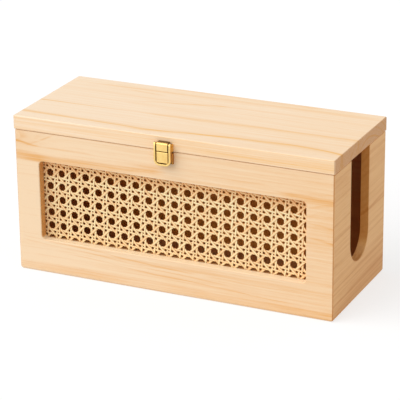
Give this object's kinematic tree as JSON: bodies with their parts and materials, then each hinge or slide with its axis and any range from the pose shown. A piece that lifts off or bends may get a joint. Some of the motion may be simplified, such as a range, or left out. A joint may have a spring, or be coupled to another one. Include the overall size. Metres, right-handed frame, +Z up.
{
  "type": "cable management box",
  "caption": "Rectangular pine box with a hinged lid, a cane window in front, a U-shaped cable slot in the right end and a brass flap latch.",
  "frame": {"origin": "middle of the flat underside of the case, on the surface it stands on", "axes": "+X along the box to its right end seen from the front, +Y from the front with the latch to the hinged back, +Z up"},
  "size_m": [0.3104, 0.1365, 0.1495],
  "materials": {
    "pine_boards": "light pine, clear matt lacquer",
    "pine_lid": "light pine, clear matt lacquer",
    "pine_floor": "light pine, clear matt lacquer",
    "pine_battens": "bare planed pine",
    "cane": "split rattan cane, natural",
    "latch_brass": "polished, brass plated",
    "hinge_brass": "polished, brass plated"
  },
  "bodies": {
    "case": {"front_panel": "pine_boards", "back_panel": "pine_boards", "left_side_panel": "pine_boards", "right_side_panel": "pine_boards", "bottom_board": "pine_floor", "cane_webbing": "cane", "cane_batten_top": "pine_battens", "cane_batten_bottom": "pine_battens", "cane_batten_left": "pine_battens", "cane_batten_right": "pine_battens", "left_hinge_case_leaf": "hinge_brass", "right_hinge_case_leaf": "hinge_brass", "left_hinge_pin": "hinge_brass", "right_hinge_pin": "hinge_brass", "hinge_case_screws": "hinge_brass", "latch_keeper": "latch_brass", "latch_keeper_nails": "latch_brass"},
    "lid": {"lid_board": "pine_lid", "left_hinge_lid_leaf": "hinge_brass", "right_hinge_lid_leaf": "hinge_brass", "hinge_lid_screws": "hinge_brass", "latch_lid_plate": "latch_brass", "latch_lid_nails": "latch_brass", "latch_pin": "latch_brass"},
    "latch": {"latch_flap": "latch_brass"}
  },
  "joints": [
    {"name": "lid_hinge", "type": "hinge", "parent": "case", "child": "lid", "pos_m": [0, 0.0649, 0.13625], "axis": [-1, 0, 0], "range_deg": [0, 180]},
    {"name": "latch_flap_pivot", "type": "hinge", "parent": "lid", "child": "latch", "pos_m": [-0.0039, -0.068, 0.1438], "axis": [-1, 0, 0], "range_deg": [0, 180]}
  ]
}
